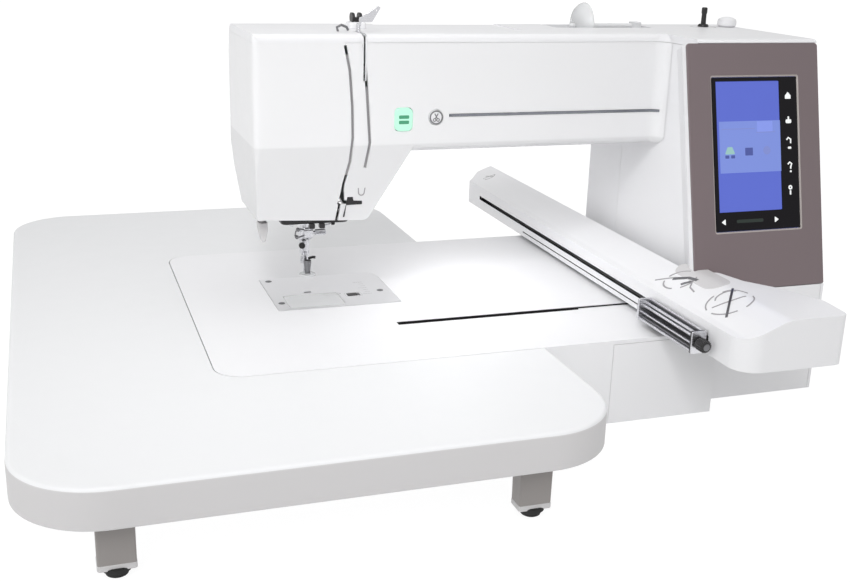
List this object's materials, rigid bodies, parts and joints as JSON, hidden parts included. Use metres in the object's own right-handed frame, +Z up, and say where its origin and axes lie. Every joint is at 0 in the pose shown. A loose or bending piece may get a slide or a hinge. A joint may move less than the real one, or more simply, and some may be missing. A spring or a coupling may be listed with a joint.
{
  "type": "embroidery machine",
  "caption": "Flat-bed embroidery machine with head, arm and column, a tilted touch screen panel, a travelling embroidery arm and a wide extension table on folding legs.",
  "frame": {"origin": "centre of the bounding box on the surface the machine and the table legs stand on", "axes": "+X from the needle head towards the column and its screen, +Y away from the operator, +Z up"},
  "size_m": [0.7236, 0.6956, 0.342],
  "materials": {
    "white_shell": "satin moulded white",
    "table_plastic": "matt off-white moulding",
    "taupe_panel": "satin warm grey",
    "black_plastic": "satin black",
    "black_glass": "polished black glass",
    "display": "lit display",
    "bright_steel": "fine brushed",
    "cast_frame": "as cast",
    "rubber": "matt",
    "green_key": "translucent, lit from behind",
    "circuit_board": "solder mask",
    "motor_casing": "dark painted steel",
    "clear_plastic": "milky clear"
  },
  "bodies": {
    "chassis": {"base_plate": "table_plastic", "base_foot_front_left": "rubber", "base_foot_front_right": "rubber", "base_foot_rear_left": "rubber", "base_foot_rear_right": "rubber", "bed_cover": "white_shell", "base_front_fascia": "white_shell", "needle_plate": "bright_steel", "face_cover": "white_shell", "arm_front_cover": "white_shell", "rear_cover": "white_shell", "top_cover": "white_shell", "column_front_cover": "white_shell", "right_side_cover": "white_shell", "control_panel_bezel": "taupe_panel", "touch_panel": "black_glass", "lcd_display": "display", "main_board": "circuit_board", "power_inlet": "black_plastic", "arm_frame": "cast_frame", "bed_frame": "cast_frame", "timing_belt": "rubber", "main_motor": "motor_casing", "upper_thread_guide": "black_plastic", "bobbin_holder": "black_plastic", "arm_trim_strip": "bright_steel", "spool_pin": "table_plastic", "bobbin_winder_stopper": "white_shell", "x_guide_rail": "bright_steel"},
    "main_shaft": {"upper_shaft": "bright_steel", "handwheel": "table_plastic"},
    "lower_shaft": {"lower_shaft": "bright_steel"},
    "motor_rotor": {"motor_pulley": "bright_steel"},
    "rotary_hook": {"rotary_hook": "bright_steel"},
    "bobbin": {"bobbin": "clear_plastic"},
    "needle_bar": {"needle_bar": "bright_steel", "needle": "bright_steel"},
    "take_up_lever": {"take_up_lever": "bright_steel"},
    "presser": {"presser_bar": "bright_steel", "embroidery_foot": "black_plastic"},
    "presser_lifter": {"presser_lifter": "black_plastic"},
    "needle_threader": {"needle_threader_lever": "white_shell"},
    "start_stop_button": {"start_stop_button": "green_key"},
    "thread_cutter_button": {"thread_cutter_button": "table_plastic"},
    "hook_cover": {"hook_cover_plate": "clear_plastic"},
    "cover_release": {"cover_release_button": "black_plastic"},
    "power_switch": {"power_switch": "black_plastic"},
    "bobbin_winder": {"bobbin_winder_spindle": "black_plastic"},
    "spool_cap": {"spool_cap": "clear_plastic"},
    "embroidery_arm": {"embroidery_arm_cover": "white_shell", "embroidery_arm_base": "table_plastic", "y_guide_rail": "bright_steel", "x_carriage": "table_plastic"},
    "hoop_carriage": {"hoop_carriage": "bright_steel"},
    "hoop_clamp": {"hoop_clamp_knob": "black_plastic"},
    "extension_table": {"extension_table": "table_plastic"},
    "leg_front_left": {"table_leg_front_left": "table_plastic"},
    "leg_rear_left": {"table_leg_rear_left": "table_plastic"},
    "leg_front_right": {"table_leg_front_right": "table_plastic"},
    "leg_rear_right": {"table_leg_rear_right": "table_plastic"}
  },
  "joints": [
    {"name": "main_shaft_turn", "type": "hinge", "parent": "chassis", "child": "main_shaft", "pos_m": [0.334, 0, 0.283], "axis": [1, 0, 0], "continuous": true},
    {"name": "lower_shaft_turn", "type": "hinge", "parent": "chassis", "child": "lower_shaft", "pos_m": [-0.006, 0.0045, 0.03], "axis": [1, 0, 0], "continuous": true},
    {"name": "motor_turn", "type": "hinge", "parent": "chassis", "child": "motor_rotor", "pos_m": [0.322, -0.06, 0.12], "axis": [1, 0, 0], "continuous": true},
    {"name": "hook_turn", "type": "hinge", "parent": "chassis", "child": "rotary_hook", "pos_m": [-0.0986, -0.019, 0.05], "axis": [0, 0, 1], "continuous": true},
    {"name": "bobbin_turn", "type": "hinge", "parent": "chassis", "child": "bobbin", "pos_m": [-0.0986, -0.019, 0.06], "axis": [0, 0, 1], "continuous": true},
    {"name": "needle_bar_stroke", "type": "slide", "parent": "chassis", "child": "needle_bar", "axis": [0, 0, -1], "range_m": [0, 0.031]},
    {"name": "take_up_swing", "type": "hinge", "parent": "chassis", "child": "take_up_lever", "pos_m": [-0.0616, -0.025, 0.27], "axis": [1, 0, 0], "range_deg": [0, 40]},
    {"name": "presser_lift", "type": "hinge", "parent": "chassis", "child": "presser_lifter", "pos_m": [-0.0986, 0.046, 0.196], "axis": [-1, 0, 0], "range_deg": [0, 40]},
    {"name": "presser_stroke", "type": "slide", "parent": "chassis", "child": "presser", "axis": [0, 0, -1], "range_m": [0, 0.0165]},
    {"name": "needle_threader_pull", "type": "slide", "parent": "chassis", "child": "needle_threader", "axis": [0, 0, -1], "range_m": [0, 0.028], "stiffness_N_per_m": 60, "springref_m": -0.004},
    {"name": "start_stop_press", "type": "slide", "parent": "chassis", "child": "start_stop_button", "axis": [0, 1, 0], "range_m": [0, 0.0015], "stiffness_N_per_m": 500},
    {"name": "thread_cutter_press", "type": "slide", "parent": "chassis", "child": "thread_cutter_button", "axis": [0, 1, 0], "range_m": [0, 0.0015], "stiffness_N_per_m": 500},
    {"name": "hook_cover_lift", "type": "slide", "parent": "chassis", "child": "hook_cover", "axis": [0, 0, 1], "range_m": [0, 0.012]},
    {"name": "cover_release_slide", "type": "slide", "parent": "chassis", "child": "cover_release", "axis": [1, 0, 0], "range_m": [0, 0.0025], "stiffness_N_per_m": 300},
    {"name": "power_switch_rock", "type": "hinge", "parent": "chassis", "child": "power_switch", "pos_m": [0.3468, 0.034, 0.065], "axis": [0, 0, 1], "range_deg": [0, 12]},
    {"name": "bobbin_winder_turn", "type": "hinge", "parent": "chassis", "child": "bobbin_winder", "pos_m": [0.3118, 0.02, 0.33], "axis": [0, 0, 1], "continuous": true},
    {"name": "spool_cap_pull", "type": "slide", "parent": "chassis", "child": "spool_cap", "axis": [-1, 0, 0], "range_m": [0, 0.02]},
    {"name": "embroidery_arm_travel", "type": "slide", "parent": "chassis", "child": "embroidery_arm", "axis": [-1, 0, 0], "range_m": [0, 0.2]},
    {"name": "hoop_carriage_travel", "type": "slide", "parent": "embroidery_arm", "child": "hoop_carriage", "axis": [0, 1, 0], "range_m": [0, 0.385]},
    {"name": "hoop_clamp_turn", "type": "hinge", "parent": "hoop_carriage", "child": "hoop_clamp", "pos_m": [0.167, -0.256, 0.093], "axis": [0, 1, 0], "range_deg": [0, 90]},
    {"name": "extension_table_pull", "type": "slide", "parent": "chassis", "child": "extension_table", "axis": [-1, 0, 0], "range_m": [0, 0.28]},
    {"name": "leg_front_left_fold", "type": "hinge", "parent": "extension_table", "child": "leg_front_left", "pos_m": [-0.298, -0.317, 0.062], "axis": [1, 0, 0], "range_deg": [0, 90]},
    {"name": "leg_rear_left_fold", "type": "hinge", "parent": "extension_table", "child": "leg_rear_left", "pos_m": [-0.298, 0.317, 0.062], "axis": [-1, 0, 0], "range_deg": [0, 90]},
    {"name": "leg_front_right_fold", "type": "hinge", "parent": "extension_table", "child": "leg_front_right", "pos_m": [-0.005, -0.317, 0.062], "axis": [1, 0, 0], "range_deg": [0, 90]},
    {"name": "leg_rear_right_fold", "type": "hinge", "parent": "extension_table", "child": "leg_rear_right", "pos_m": [-0.005, 0.317, 0.062], "axis": [-1, 0, 0], "range_deg": [0, 90]}
  ],
  "couplings": [
    {"joint": "lower_shaft_turn", "follows": "main_shaft_turn", "ratio": 1},
    {"joint": "motor_turn", "follows": "main_shaft_turn", "ratio": 3.1111},
    {"joint": "hook_turn", "follows": "main_shaft_turn", "ratio": 2},
    {"joint": "take_up_swing", "follows": "needle_bar_stroke", "rad_per_m": 22.5},
    {"joint": "presser_lift", "follows": "presser_stroke", "rad_per_m": 42.3}
  ]
}
